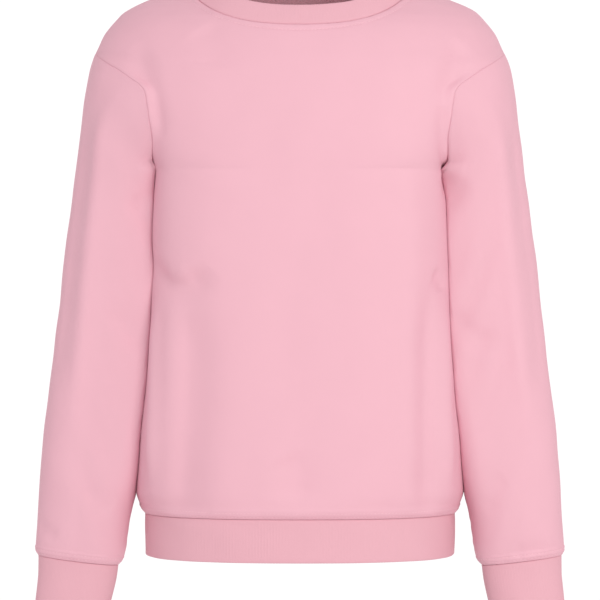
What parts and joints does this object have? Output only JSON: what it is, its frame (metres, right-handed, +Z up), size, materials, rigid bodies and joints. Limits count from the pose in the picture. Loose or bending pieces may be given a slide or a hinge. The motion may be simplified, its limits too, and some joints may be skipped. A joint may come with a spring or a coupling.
{
  "type": "crewneck sweatshirt",
  "caption": "Long-sleeved pullover sweatshirt in pink fleece with a ribbed crew neckband, cuffs and hem band, filled out as worn.",
  "frame": {"origin": "on the middle plane of the body, at the height of the shoulders' highest point beside the neck", "axes": "+Z up, +X towards the wearer's left sleeve, -Y out of the front"},
  "size_m": [0.4976, 0.2191, 0.6253],
  "materials": {
    "sweat_fleece": "smooth knitted face, brushed inside",
    "rib_knit": "fine rib knit"
  },
  "bodies": {
    "root": {"front": "sweat_fleece", "back": "sweat_fleece", "sleeve_left": "sweat_fleece", "sleeve_right": "sweat_fleece", "cuff_left": "rib_knit", "cuff_right": "rib_knit", "hem_band": "rib_knit", "neckband": "rib_knit"}
  },
  "joints": []
}
